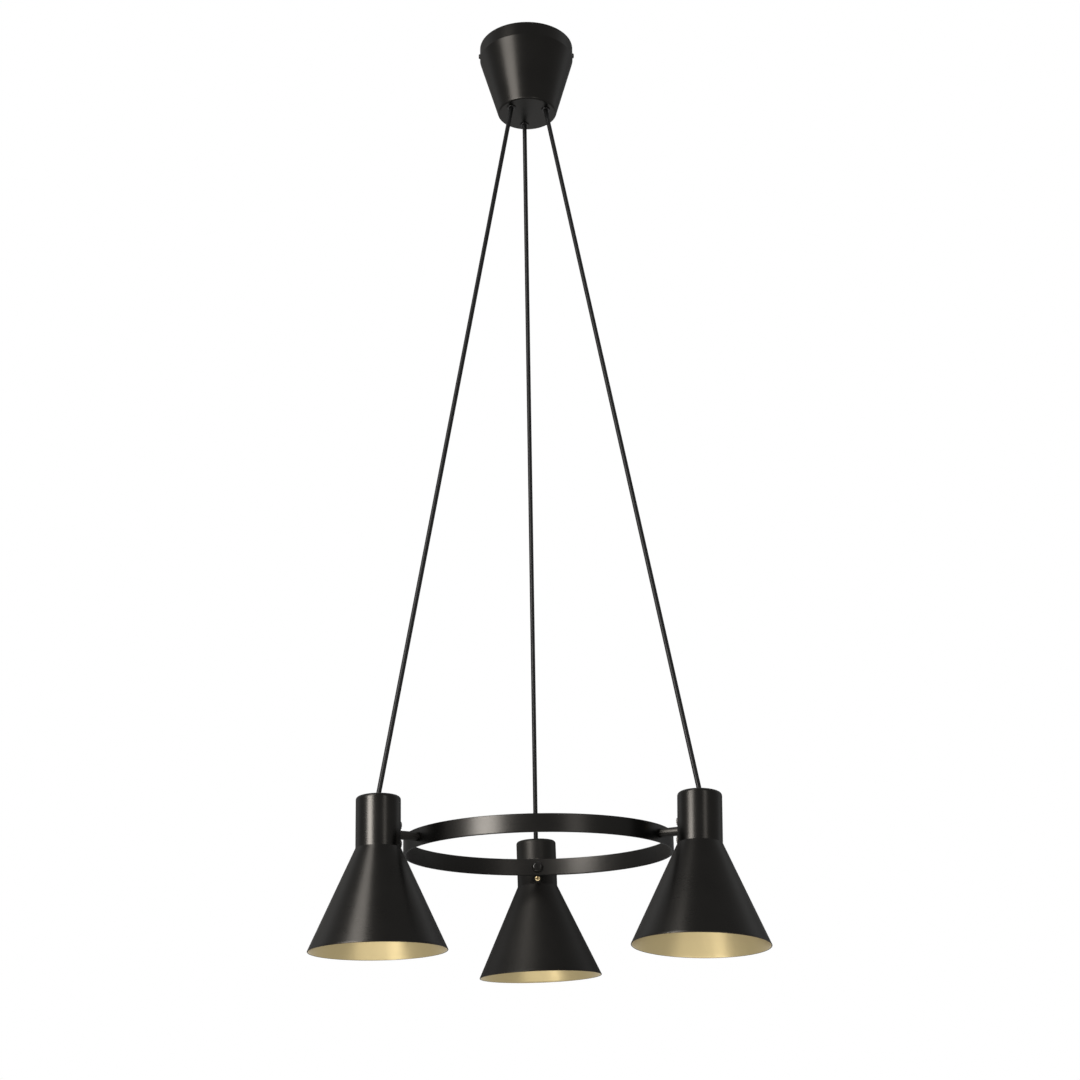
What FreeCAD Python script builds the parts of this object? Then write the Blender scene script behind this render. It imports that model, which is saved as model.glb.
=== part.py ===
"""Pendant light: three spun cone shades round a flat ring, hung on three cords from a ceiling canopy.

Frame: +Z up, origin on the ceiling at the centre of the canopy, rear shade towards +Y.
Lengths are in millimetres, angles in degrees.
"""
import FreeCAD, Part

import math
import os
import re

import Sketcher

Vector = FreeCAD.Vector
Rotation = FreeCAD.Rotation
Placement = FreeCAD.Placement
UP = Vector(0, 0, 1)
OUTWARD = Vector(1, 0, 0)
SIDEWAYS = Vector(0, 1, 0)

# Driving sizes: the name of each cell, its value and what it measures.
SIZES = {
    "ring_drop": (1037.0, "ceiling to the middle of the ring"),
    "ring_radius": (150.0, "outer radius of the ring"),
    "ring_thick": (3.0, "thickness of the ring's band"),
    "ring_tall": (19.3, "height of the ring's band"),
    "ring_edge": (0.5, "rounding of the band's edges"),
    "arm_long": (21.5, "length of an arm tube, from the ring to its washer"),
    "rear_bearing": (90.0, "direction of the rear shade from +X"),
    "left_turn": (1.4, "turn of the left shade about its arm as hung"),
    "right_turn": (-4.6, "turn of the right shade about its arm as hung"),
    "rear_turn": (-1.2, "turn of the rear shade about its arm as hung"),
    "canopy_radius": (60.0, "outer radius of the canopy's upright collar"),
    "canopy_collar": (18.0, "height of the canopy's upright collar at the ceiling"),
    "canopy_floor_radius": (37.1, "outer radius of the canopy at its floor"),
    "canopy_tall": (97.4, "height of the canopy"),
    "canopy_wall": (1.2, "thickness of the canopy's sheet"),
    "canopy_corner": (1.8, "inside rounding between the canopy's wall and floor"),
    "canopy_screw_depth": (10.5, "depth of the canopy's screws below the ceiling"),
    "strap_wide": (16.0, "width of the ceiling strap"),
    "strap_thick": (2.0, "thickness of the ceiling strap"),
    "strap_short": (2.0, "height left free under the strap's ears in the collar"),
    "strap_bend": (2.0, "inside rounding of the strap's bends"),
    "slot_spacing": (60.0, "distance between the middles of the ceiling slots"),
    "slot_long": (18.0, "length of a ceiling slot, end to end"),
    "slot_radius": (2.6, "half the width of a ceiling slot"),
    "block_long": (32.0, "length of the terminal block"),
    "block_wide": (16.0, "width of the terminal block"),
    "block_tall": (16.0, "height of the terminal block"),
    "pole_spacing": (10.0, "distance between the block's poles"),
    "pole_depth": (7.0, "depth of a lead's hole in the block"),
    "clamp_height": (3.5, "height of the clamp screws above the block's underside"),
    "clamp_radius": (1.8, "radius of a clamp screw"),
    "block_screw_radius": (1.5, "thread radius of the block's fixing screw"),
    "block_head_radius": (2.1, "head radius of the block's fixing screw"),
    "block_head_tall": (1.6, "head height of the block's fixing screw"),
    "gland_circle": (25.5, "radius of the circle that the glands stand on"),
    "gland_turn": (7.5, "turn of the glands from their arms' bearings, as hung"),
    "gland_flange_radius": (5.8, "radius of a gland's flange"),
    "gland_flange_thick": (1.2, "thickness of a gland's flange"),
    "gland_flange_round": (0.8, "rounding of a gland's flange"),
    "gland_thread_radius": (4.0, "thread radius of a gland"),
    "gland_thread_long": (8.0, "length of a gland's thread above its flange"),
    "gland_nut_flats": (11.0, "width of a gland nut across its flats"),
    "gland_nut_thick": (3.5, "thickness of a gland nut"),
    "cord_radius": (2.7, "radius of the round cord"),
    "lead_rise": (30.0, "straight rise of a lead above its gland's mouth"),
    "lead_drop": (18.0, "straight drop of a lead below the terminal block"),
    "neck_radius": (24.0, "outer radius of a shade's neck"),
    "neck_top": (39.0, "height of the neck's top above the arm"),
    "neck_fold": (15.8, "depth of the fold between neck and cone below the arm"),
    "neck_corner": (2.5, "inside rounding of the neck's top edge"),
    "rim_radius": (73.2, "outer radius of a shade's rim"),
    "rim_drop": (122.8, "depth of a shade's rim below the arm"),
    "shade_wall": (1.0, "thickness of a shade's sheet"),
    "bush_flange_radius": (6.5, "radius of a cord bush's flange"),
    "bush_flange_thick": (1.8, "thickness of a cord bush's flange"),
    "bush_flange_round": (0.9, "rounding of a cord bush's flange"),
    "bush_thread_radius": (5.0, "thread radius of a cord bush"),
    "bush_thread_long": (5.5, "length of a cord bush's thread"),
    "bush_nut_flats": (14.0, "width of a bush nut across its flats"),
    "bush_nut_thick": (3.0, "thickness of a bush nut"),
    "arm_tube_radius": (4.8, "outer radius of an arm tube"),
    "arm_screw_radius": (3.0, "thread radius of an arm screw, the pin its shade turns on"),
    "arm_head_radius": (6.5, "radius of an arm screw's domed head"),
    "arm_head_tall": (3.4, "height of an arm screw's domed head"),
    "arm_head_round": (3.1, "rounding that domes an arm screw's head"),
    "arm_slot_wide": (1.4, "width of the slot in an arm screw"),
    "arm_slot_deep": (1.5, "depth of the slot in an arm screw"),
    "arm_slot_turn": (20.0, "turn of the slots away from upright"),
    "arm_washer_radius": (5.0, "radius of an arm washer"),
    "arm_washer_thick": (1.0, "thickness of an arm washer"),
    "arm_nut_flats": (10.0, "width of an arm nut across its flats"),
    "arm_nut_thick": (3.6, "thickness of an arm nut"),
    "screw_tip": (0.4, "length of a screw that stands past its nut or plate"),
    "bracket_wide": (16.0, "width of a holder bracket"),
    "bracket_thick": (1.5, "thickness of a holder bracket"),
    "bracket_seat": (24.5, "height of a bracket's shelf underside above the arm"),
    "bracket_foot": (14.5, "depth of a bracket's leg below the arm"),
    "bracket_reach": (9.0, "reach of a bracket's shelf past the shade's axis"),
    "bracket_bend": (1.0, "inside rounding of a bracket's bend"),
    "bracket_screw_pitch": (9.9, "distance of the brass screws above and below the arm"),
    "brass_radius": (2.0, "thread radius of a small screw"),
    "brass_head_radius": (3.1, "head radius of a small screw"),
    "brass_head_tall": (1.8, "head height of a small screw"),
    "brass_head_round": (1.3, "rounding of a small screw's head"),
    "cross_half_wide": (0.45, "half the width of a cross recess's arms"),
    "cross_reach": (1.8, "reach of a cross recess from the screw's axis"),
    "cross_deep": (1.2, "depth of a cross recess"),
    "star_radius": (4.8, "outer radius of a toothed washer"),
    "star_thick": (1.8, "thickness of a toothed washer at its teeth"),
    "star_seat": (0.6, "thickness of a toothed washer under its screw's head"),
    "star_notch": (0.65, "radius of the notches between the washer's teeth"),
    "star_teeth": (12, "number of teeth on a toothed washer"),
    "nipple_radius": (5.0, "thread radius of the hollow bolt on a lampholder"),
    "nipple_bore": (3.3, "bore radius of the hollow bolt"),
    "nipple_head_flats": (14.0, "width of the hollow bolt's head across its flats"),
    "nipple_head_thick": (3.0, "thickness of the hollow bolt's head"),
    "holder_radius": (13.5, "outer radius of a lampholder"),
    "holder_wall": (1.6, "wall of a lampholder"),
    "holder_long": (46.0, "length of a lampholder"),
    "holder_cap_radius": (9.0, "radius of a lampholder's flat top"),
    "holder_cap_thick": (6.0, "thickness of a lampholder's top"),
    "holder_shoulder": (7.0, "height of a lampholder's sloping shoulder"),
    "chamber_tall": (8.0, "height of the wiring chamber in a lampholder"),
    "insert_disc": (3.0, "thickness of the socket insert's disc"),
    "insert_wall": (0.9, "wall of the socket insert's sleeve"),
    "insert_long": (20.0, "length of the socket insert's sleeve"),
    "bulb_cap_radius": (6.9, "radius of a bulb's screw cap"),
    "bulb_cap_long": (24.0, "length of a bulb's screw cap"),
    "bulb_cap_round": (2.5, "rounding of a bulb cap's contact end"),
    "bulb_cap_wall": (0.6, "wall of a bulb's screw cap"),
    "bulb_contact": (4.0, "thickness of a bulb cap's contact end"),
    "bulb_radius": (22.5, "radius of a bulb's ball"),
    "bulb_long": (54.0, "length of a bulb's glass"),
    "bulb_neck_radius": (7.6, "radius of the glass where it meets its cap"),
    "bulb_shoulder": (11.4, "height above the ball's middle where the glass leaves the ball"),
    "glass_wall": (0.8, "wall of a bulb's glass"),
    "running_gap": (0.05, "radial clearance of a hole that turns on a screw"),
    "hole_gap": (0.1, "radial clearance of a hole that a screw or thread passes through"),
    "seat_gap": (0.3, "clearance between a shade and what stays still beside it"),
    "cord_gap": (0.3, "clearance at a cord's ends, where it sways in its gland and on its bush"),
}

# Sizes worked out from the driving ones.
DERIVED = {
    "station_step": ("360 / 3", "angle between neighbouring stations"),
    "neck_bore": ("neck_radius - shade_wall", "inner radius of the neck"),
    "neck_ceiling": ("neck_top - shade_wall", "height of the neck's inner top"),
    "cone_slope": ("(rim_radius - neck_radius) / (rim_drop - neck_fold)", "spread of the cone per drop"),
    "cone_stretch": ("sqrt(1 + cone_slope * cone_slope)", "length of the cone per drop"),
    "rim_bore": ("rim_radius - shade_wall * cone_stretch", "inner radius of the rim"),
    "fold_inside": ("neck_fold + shade_wall * (cone_stretch - 1) / cone_slope", "depth of the inner fold"),
    "bush_top": ("neck_top + bush_flange_thick", "height of the cord bush's mouth"),
    "grip_bore": ("cord_radius + running_gap", "bore of what grips the cord"),
    "pivot_hole": ("arm_screw_radius + running_gap", "radius of the holes that turn on an arm screw"),
    "arm_hole": ("arm_screw_radius + hole_gap", "radius of the holes that an arm screw passes"),
    "brass_hole": ("brass_radius + hole_gap", "radius of the holes that a small screw passes"),
    "leg_face": (
        "sqrt(neck_bore * neck_bore - bracket_wide * bracket_wide / 4) - hole_gap",
        "distance of a bracket leg's outer face from the shade's axis",
    ),
    "leg_back": ("leg_face - bracket_thick", "distance of the leg's inner face from the shade's axis"),
    "nut_face": ("leg_back - seat_gap", "distance of an arm nut's face from the shade's axis"),
    "head_seat": (
        "sqrt((ring_radius - ring_thick) ^ 2 - arm_head_radius ^ 2)",
        "radius at which an arm screw's head sits in the ring",
    ),
    "tube_end": ("ring_radius + arm_long", "radius at which an arm tube ends"),
    "shade_circle": (
        "tube_end + arm_washer_thick + seat_gap + neck_radius",
        "radius of the circle that the shades' axes stand on",
    ),
    "canopy_slope": (
        "(canopy_radius - canopy_floor_radius) / (canopy_tall - canopy_collar)",
        "taper of the canopy's cone per drop",
    ),
    "canopy_stretch": ("sqrt(1 + canopy_slope * canopy_slope)", "length of the canopy's cone per drop"),
    "canopy_across": ("canopy_wall * canopy_stretch", "the cone's wall measured level"),
    "canopy_fold": (
        "canopy_collar - canopy_wall * (canopy_stretch - 1) / canopy_slope",
        "depth of the inner fold between collar and cone",
    ),
    "strap_half": (
        "sqrt((canopy_radius - canopy_wall) ^ 2 - strap_wide * strap_wide / 4) - seat_gap",
        "half the length of the ceiling strap",
    ),
    "strap_ear": ("canopy_collar - strap_short", "depth of the strap's turned-down ears"),
    "slot_end": (
        "slot_spacing / 2 + slot_long / 2",
        "distance of a slot's outer end from the strap's middle",
    ),
    "bend_start": ("strap_half - strap_thick - strap_bend", "distance of a bend from the strap's middle"),
    "earth_place": ("(slot_end + bend_start) / 2", "distance of the earth screw from the strap's middle"),
    "holder_bore": ("holder_radius - holder_wall", "inner radius of a lampholder"),
    "chamber_top": ("bracket_seat - holder_cap_thick", "height of the wiring chamber's top"),
    "insert_top": ("chamber_top - chamber_tall", "height of the socket insert's top"),
    "bulb_top": ("insert_top - insert_disc", "height of the bulb's contact"),
    "glass_top": ("bulb_top - bulb_cap_long", "height where the glass leaves the cap"),
    "bulb_middle": ("glass_top - bulb_long + bulb_radius", "height of the middle of the bulb's ball"),
}

doc = FreeCAD.newDocument("PendantLight")
sheet = doc.addObject("Spreadsheet::Sheet", "Sizes")
for row, (name, (amount, about)) in enumerate({**SIZES, **DERIVED}.items(), start=1):
    formula = "=" + amount if name in DERIVED else str(amount)
    sheet.set(f"A{row}", about)
    sheet.set(f"B{row}", formula)
    sheet.setAlias(f"B{row}", name)
doc.recompute()


def cell(name):
    """The number in a named cell."""
    return float(sheet.get(name))


def refer(text):
    """Words of the sheet inside a formula, turned into references to its cells."""
    return re.sub(r"[a-z][a-z_]*", lambda word: add_sheet(word.group(0)), text)


def add_sheet(word):
    return "Sizes." + word if word in SIZES or word in DERIVED else word


def bind(thing, **formulas):
    """Bind properties of an object to formulas of the sheet."""
    for place, text in formulas.items():
        thing.setExpression(place, refer(text))
    return thing


def set_sketch(body, name, role):
    """An empty sketch on one of the body's own origin planes."""
    sketch = body.newObject("Sketcher::SketchObject", name)
    plane = next(item for item in body.Origin.OriginFeatures if item.Role == role)
    sketch.AttachmentSupport = [(plane, "")]
    sketch.MapMode = "FlatFace"
    return sketch


def hold(sketch, geometry, vertex, across, along, start):
    """Hold one point of a sketch at two formulas, measured from the sketch's origin."""
    for kind, text, now in (("DistanceX", across, start.x), ("DistanceY", along, start.y)):
        index = sketch.addConstraint(Sketcher.Constraint(kind, -1, 1, geometry, vertex, now))
        sketch.setExpression(f"Constraints[{index}]", refer(text))


def draw_outline(body, name, role, corners):
    """A closed outline of straight lines through corners given as pairs of formulas."""
    sketch = set_sketch(body, name, role)
    count = len(corners)
    turn = 2 * math.pi / count
    start = [Vector(100 + 50 * math.cos(turn * i), 50 * math.sin(turn * i), 0) for i in range(count)]
    for i in range(count):
        sketch.addGeometry(Part.LineSegment(start[i], start[(i + 1) % count]))
    for i in range(count):
        sketch.addConstraint(Sketcher.Constraint("Coincident", i, 2, (i + 1) % count, 1))
    for i, (across, along) in enumerate(corners):
        hold(sketch, i, 1, across, along, start[i])
    return sketch


def draw_circles(body, name, role, circles):
    """Circles given as formulas for their centre and radius."""
    sketch = set_sketch(body, name, role)
    for i, (across, along, radius) in enumerate(circles):
        start = Vector(10 * i + 1, 1, 0)
        index = sketch.addGeometry(Part.Circle(start, UP, 1))
        hold(sketch, index, 3, across, along, start)
        ring = sketch.addConstraint(Sketcher.Constraint("Radius", index, 1.0))
        sketch.setExpression(f"Constraints[{ring}]", refer(radius))
    return sketch


def new_body(name):
    body = doc.addObject("PartDesign::Body", name)
    body.Label = name
    return body


def turned(name, outline):
    """A body of revolution: the outline's pairs are radius and height."""
    body = new_body(name)
    sketch = draw_outline(body, name + "_outline", "XZ_Plane", outline)
    solid = body.newObject("PartDesign::Revolution", name + "_turning")
    solid.Profile = sketch
    solid.ReferenceAxis = (sketch, ["V_Axis"])
    solid.Angle = 360
    doc.recompute()
    return body


def padded(name, role, outline, thick):
    """A body of even thickness, half of it on each side of the sketch's plane."""
    body = new_body(name)
    solid = body.newObject("PartDesign::Pad", name + "_pad")
    solid.Profile = draw_outline(body, name + "_outline", role, outline)
    solid.Midplane = True
    bind(solid, Length=thick)
    doc.recompute()
    return body


def pocket(body, sketch, name, deep=None, reverse=False):
    """Cut a sketch out of a body, right through on one side, or as deep as the formula says."""
    before = body.Shape.Volume
    cut = body.newObject("PartDesign::Pocket", name)
    cut.Profile = sketch
    cut.Reversed = reverse
    if deep is None:
        cut.Type = "ThroughAll"
    else:
        bind(cut, Length=deep)
    doc.recompute()
    if body.Shape.Volume > before - 1e-3:
        raise RuntimeError(f"{name} cuts nothing")
    return cut


def repeat_round(body, feature, name, count):
    """Repeat a feature evenly about the body's Z axis."""
    pattern = body.newObject("PartDesign::PolarPattern", name)
    pattern.Originals = [feature]
    axis = next(item for item in body.Origin.OriginFeatures if item.Role == "Z_Axis")
    pattern.Axis = (axis, [""])
    pattern.Angle = 360
    bind(pattern, Occurrences=count)
    body.Tip = pattern
    doc.recompute()
    return pattern


def round_circles(body, name, radius, rings):
    """Round the circular edges at the given pairs of radius and height."""
    base = body.Tip
    picked = []
    for index, edge in enumerate(base.Shape.Edges, start=1):
        curve = edge.Curve
        if not isinstance(curve, Part.Circle):
            continue
        for ring_radius, ring_height in rings:
            same = abs(curve.Radius - ring_radius) < 1e-4 and abs(curve.Center.z - ring_height) < 1e-4
            if same:
                picked.append(f"Edge{index}")
    if len(picked) != len(rings):
        raise RuntimeError(f"{name} found {len(picked)} edges")
    fillet = body.newObject("PartDesign::Fillet", name)
    fillet.Base = (base, picked)
    bind(fillet, Radius=radius)
    doc.recompute()
    return fillet


def cylinder(name, radius, height):
    """A cylinder on its own Z axis, sized by formulas."""
    solid = doc.addObject("Part::Cylinder", name)
    return bind(solid, Radius=radius, Height=height)


def hexagon(name, flats, height):
    """A hexagonal prism on its own Z axis, sized across its flats."""
    solid = doc.addObject("Part::Prism", name)
    solid.Polygon = 6
    return bind(solid, Circumradius=f"{flats} / sqrt(3)", Height=height)


def at(thing, place):
    thing.Placement = place
    return thing


def join(name, *things):
    solid = doc.addObject("Part::MultiFuse", name)
    solid.Shapes = list(things)
    return solid


def cut_out(name, base, *tools):
    """The base with every tool cut out of it."""
    solid = doc.addObject("Part::Cut", name)
    solid.Base = base
    solid.Tool = tools[0] if len(tools) == 1 else join(name + "_tools", *tools)
    solid.Label = name
    return solid


def lift(height):
    return Placement(Vector(0, 0, height), Rotation())


def facing(place, direction):
    """A placement whose Z axis points along a direction."""
    return Placement(place, Rotation(UP, direction))


def group(name, master, places):
    """Identical loose pieces kept as one node: linked copies of a master at each place."""
    copies = []
    for index, place in enumerate(places, start=1):
        copy = doc.addObject("App::Link", f"{name}_{index}")
        copy.LinkedObject = master
        copy.LinkTransform = False
        copy.Placement = place
        copies.append(copy)
    bunch = doc.addObject("Part::Compound", name)
    bunch.Links = copies
    bunch.Label = name
    nodes.append(bunch)
    return bunch


def node(thing):
    """Mark an object as a finished piece of the light."""
    nodes.append(thing)
    return thing


# The three stations, as the name of each and its bearing.
nodes = []
bearings = {
    "left": cell("rear_bearing") + cell("station_step"),
    "right": cell("rear_bearing") - cell("station_step"),
    "rear": cell("rear_bearing"),
}
STATIONS = list(bearings)


def station(side, height):
    """Placement whose X axis runs outwards along a station's arm, at a height of the light."""
    return Placement(Vector(0, 0, height), Rotation(UP, bearings[side]))


def shade_place(side):
    """Placement of everything on one shade: origin on the arm's axis, Z up the neck."""
    arm = station(side, -cell("ring_drop"))
    turn = Placement(Vector(cell("shade_circle"), 0, 0), Rotation(OUTWARD, cell(side + "_turn")))
    return arm.multiply(turn)


# Canopy: a spun cup, an upright collar at the ceiling over a cone, flat floor with three gland holes.
canopy_cup = turned("canopy_cup", [
    ("0", "-canopy_tall"),
    ("canopy_floor_radius", "-canopy_tall"),
    ("canopy_radius", "-canopy_collar"),
    ("canopy_radius", "0"),
    ("canopy_radius - canopy_wall", "0"),
    ("canopy_radius - canopy_wall", "-canopy_fold"),
    ("canopy_floor_radius - canopy_across + canopy_wall * canopy_slope", "canopy_wall - canopy_tall"),
    ("0", "canopy_wall - canopy_tall"),
])
canopy_depth = cell("canopy_tall")
canopy_inner_floor = cell("canopy_floor_radius") - cell("canopy_across")
canopy_inner_floor += cell("canopy_wall") * cell("canopy_slope")
round_circles(canopy_cup, "canopy_outer_corner", "canopy_corner + canopy_wall", [
    (cell("canopy_floor_radius"), -canopy_depth),
])
round_circles(canopy_cup, "canopy_inner_corner", "canopy_corner", [
    (canopy_inner_floor, cell("canopy_wall") - canopy_depth),
])
gland_hole = draw_circles(canopy_cup, "gland_hole_circle", "XY_Plane", [
    ("gland_circle", "0", "gland_thread_radius + hole_gap"),
])
gland_hole_cut = pocket(canopy_cup, gland_hole, "gland_hole")
repeat_round(canopy_cup, gland_hole_cut, "gland_holes", "3")


def gland_place(side, height):
    """Placement of what stands on a gland's axis at a height of the light."""
    turn = Placement(Vector(0, 0, height), Rotation(UP, bearings[side] + cell("gland_turn")))
    return turn.multiply(Placement(Vector(cell("gland_circle"), 0, 0), Rotation()))


canopy_cup.Placement = Placement(Vector(), Rotation(UP, bearings["rear"] + cell("gland_turn")))

# Canopy screws: level through the collar, one at each end of the strap.
screw_height = -cell("canopy_screw_depth")
canopy_screw_places = []
for outwards in (OUTWARD, -OUTWARD):
    canopy_screw_places.append(facing(outwards * cell("canopy_radius") + UP * screw_height, outwards))
wall_holes = []
ear_holes = []
for index, place in enumerate(canopy_screw_places, start=1):
    inwards = place.multiply(lift(-2 * cell("strap_thick") - 2 * cell("canopy_wall")))
    wall_holes.append(at(cylinder(f"wall_hole_{index}", "brass_hole", "4 * strap_thick"), inwards))
    through = place.multiply(lift(-4 * cell("strap_thick")))
    ear_holes.append(at(cylinder(f"ear_hole_{index}", "brass_radius", "8 * strap_thick"), through))
canopy = node(cut_out("canopy", canopy_cup, *wall_holes))


def small_screw(name, long):
    """A pan-head screw with a cross recess: seat at height 0, head above, thread below."""
    body = turned(name, [
        ("0", f"-({long})"),
        ("brass_radius", f"-({long})"),
        ("brass_radius", "0"),
        ("brass_head_radius", "0"),
        ("brass_head_radius", "brass_head_tall"),
        ("0", "brass_head_tall"),
    ])
    head_edge = [(cell("brass_head_radius"), cell("brass_head_tall"))]
    round_circles(body, name + "_head", "brass_head_round", head_edge)
    half, reach = "cross_half_wide", "cross_reach"
    corners = [
        (half, half), (reach, half), (reach, "-" + half), (half, "-" + half),
        (half, "-" + reach), ("-" + half, "-" + reach), ("-" + half, "-" + half), ("-" + reach, "-" + half),
        ("-" + reach, half), ("-" + half, half), ("-" + half, reach), (half, reach),
    ]
    cross = draw_outline(body, name + "_cross_outline", "XY_Plane", corners)
    cross.AttachmentOffset = lift(cell("brass_head_tall"))
    pocket(body, cross, name + "_cross", "cross_deep")
    return body


canopy_screw = small_screw("canopy_screw", "canopy_wall + hole_gap + 2 * strap_thick")
group("canopy_screws", canopy_screw, canopy_screw_places)

# Ceiling bracket: a flat strap whose ends turn down inside the canopy's collar.
strap = padded("strap", "XZ_Plane", [
    ("-strap_half", "0"),
    ("-strap_half", "-strap_ear"),
    ("strap_thick - strap_half", "-strap_ear"),
    ("strap_thick - strap_half", "-strap_thick"),
    ("strap_half - strap_thick", "-strap_thick"),
    ("strap_half - strap_thick", "-strap_ear"),
    ("strap_half", "-strap_ear"),
    ("strap_half", "0"),
], "strap_wide")


def round_bends(body, name, radius, bends):
    """Round the edges that run across a bent strip at the given points of its side view."""
    base = body.Tip
    picked = []
    for index, edge in enumerate(base.Shape.Edges, start=1):
        middle = edge.CenterOfMass
        for across, height in bends:
            near = abs(middle.x - across) < 1e-3 and abs(middle.z - height) < 1e-3
            if near and abs(middle.y) < 1e-3:
                picked.append(f"Edge{index}")
    if len(picked) != len(bends):
        raise RuntimeError(f"{name} found {len(picked)} edges")
    fillet = body.newObject("PartDesign::Fillet", name)
    fillet.Base = (base, picked)
    bind(fillet, Radius=radius)
    doc.recompute()


strap_end = cell("strap_half")
strap_corner = strap_end - cell("strap_thick")
outer_bends = [(-strap_end, 0), (strap_end, 0)]
round_bends(strap, "strap_outer_bends", "strap_bend + strap_thick", outer_bends)
round_bends(strap, "strap_inner_bends", "strap_bend", [
    (-strap_corner, -cell("strap_thick")),
    (strap_corner, -cell("strap_thick")),
])
strap_tools = list(ear_holes)
below_strap = -2 * cell("strap_thick")
for way, side in ((-1, "minus"), (1, "plus")):
    slot_ends = []
    for end in (-1, 1):
        across = way * cell("slot_spacing") / 2 + end * (cell("slot_long") / 2 - cell("slot_radius"))
        round_end = cylinder(f"slot_end_{side}_{end + 1}", "slot_radius", "4 * strap_thick")
        slot_ends.append(at(round_end, Placement(Vector(across, 0, below_strap), Rotation())))
    middle = doc.addObject("Part::Box", f"slot_middle_{side}")
    bind(middle, Length="slot_long - 2 * slot_radius", Width="2 * slot_radius", Height="4 * strap_thick")
    start = way * cell("slot_spacing") / 2 - cell("slot_long") / 2 + cell("slot_radius")
    at(middle, Placement(Vector(start, -cell("slot_radius"), below_strap), Rotation()))
    strap_tools += slot_ends + [middle]
earth_spot = Vector(-cell("earth_place"), 0, below_strap)
earth_hole = cylinder("earth_hole", "brass_radius", "4 * strap_thick")
strap_tools.append(at(earth_hole, Placement(earth_spot, Rotation())))
block_screw_spot = Vector(cell("pole_spacing") / 2, 0, below_strap)
block_screw_hole = cylinder("block_screw_hole", "block_screw_radius", "4 * strap_thick")
strap_tools.append(at(block_screw_hole, Placement(block_screw_spot, Rotation())))
ceiling_bracket = node(cut_out("ceiling_bracket", strap, *strap_tools))

# Earth screw: brass, from below into the strap.
earth_master = small_screw("earth_screw_master", "strap_thick")
earth_seat = Vector(-cell("earth_place"), 0, -cell("strap_thick"))
group("earth_screw", earth_master, [facing(earth_seat, -UP)])

# Terminal block: three poles, leads in from below, clamp screws on the near side.
block_top = -cell("strap_thick")
block_bottom = block_top - cell("block_tall")
block = doc.addObject("Part::Box", "block")
bind(block, Length="block_long", Width="block_wide", Height="block_tall")
block_corner = Vector(-cell("block_long") / 2, -cell("block_wide") / 2, block_bottom)
at(block, Placement(block_corner, Rotation()))
poles = {"left": -cell("pole_spacing"), "rear": 0.0, "right": cell("pole_spacing")}
block_tools = []
clamp_places = []
for side, across in poles.items():
    lead_hole = cylinder(f"lead_hole_{side}", "cord_radius + hole_gap", "pole_depth")
    block_tools.append(at(lead_hole, Placement(Vector(across, 0, block_bottom), Rotation())))
    clamp_spot = Vector(across, -cell("block_wide") / 2, block_bottom + cell("clamp_height"))
    clamp_place = facing(clamp_spot, SIDEWAYS)
    clamp_hole = cylinder(f"clamp_hole_{side}", "clamp_radius + hole_gap", "block_wide / 2 - cord_radius")
    block_tools.append(at(clamp_hole, clamp_place))
    clamp_places.append(clamp_place)
fixing_hole = cylinder("fixing_hole", "block_screw_radius + hole_gap", "block_tall")
fixing_spot = Vector(cell("pole_spacing") / 2, 0, block_bottom)
block_tools.append(at(fixing_hole, Placement(fixing_spot, Rotation())))
terminal_block = node(cut_out("terminal_block", block, *block_tools))

clamp_rod = cylinder("clamp_rod", "clamp_radius", "block_wide / 2 - cord_radius")
clamp_slot = doc.addObject("Part::Box", "clamp_slot")
bind(clamp_slot, Length="3 * clamp_radius", Width="clamp_radius / 3", Height="clamp_radius / 2")
at(clamp_slot, Placement(Vector(-1.5 * cell("clamp_radius"), -cell("clamp_radius") / 6, 0), Rotation()))
clamp_screw = cut_out("clamp_screw", clamp_rod, clamp_slot)
group("terminal_screws", clamp_screw, clamp_places)

fixing_shank = cylinder("fixing_shank", "block_screw_radius", "block_tall + strap_thick")
fixing_head = cylinder("fixing_head", "block_head_radius", "block_head_tall")
at(fixing_head, lift(-cell("block_head_tall")))
fixing_screw = join("fixing_screw", fixing_shank, fixing_head)
group("block_screw", fixing_screw, [Placement(fixing_spot, Rotation())])

# Glands: a low rounded flange under the floor, a thread through it, a nut above it.
floor_height = -cell("canopy_tall")
mouth_height = floor_height - cell("gland_flange_thick")
for side in STATIONS:
    gland = turned(side + "_gland", [
        ("grip_bore", "-gland_flange_thick"),
        ("gland_flange_radius", "-gland_flange_thick"),
        ("gland_flange_radius", "0"),
        ("gland_thread_radius", "0"),
        ("gland_thread_radius", "gland_thread_long"),
        ("grip_bore", "gland_thread_long"),
    ])
    flange_edge = [(cell("gland_flange_radius"), -cell("gland_flange_thick"))]
    round_circles(gland, side + "_gland_edge", "gland_flange_round", flange_edge)
    node(at(gland, gland_place(side, floor_height)))


def nut(name, flats, thick, bore):
    """A hexagon nut, its lower face at height 0."""
    blank = hexagon(name + "_blank", flats, thick)
    return cut_out(name, blank, cylinder(name + "_bore", bore, thick))


gland_nut = nut("gland_nut", "gland_nut_flats", "gland_nut_thick", "gland_thread_radius")
inner_floor = floor_height + cell("canopy_wall")
group("gland_nuts", gland_nut, [gland_place(side, inner_floor) for side in STATIONS])


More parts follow.
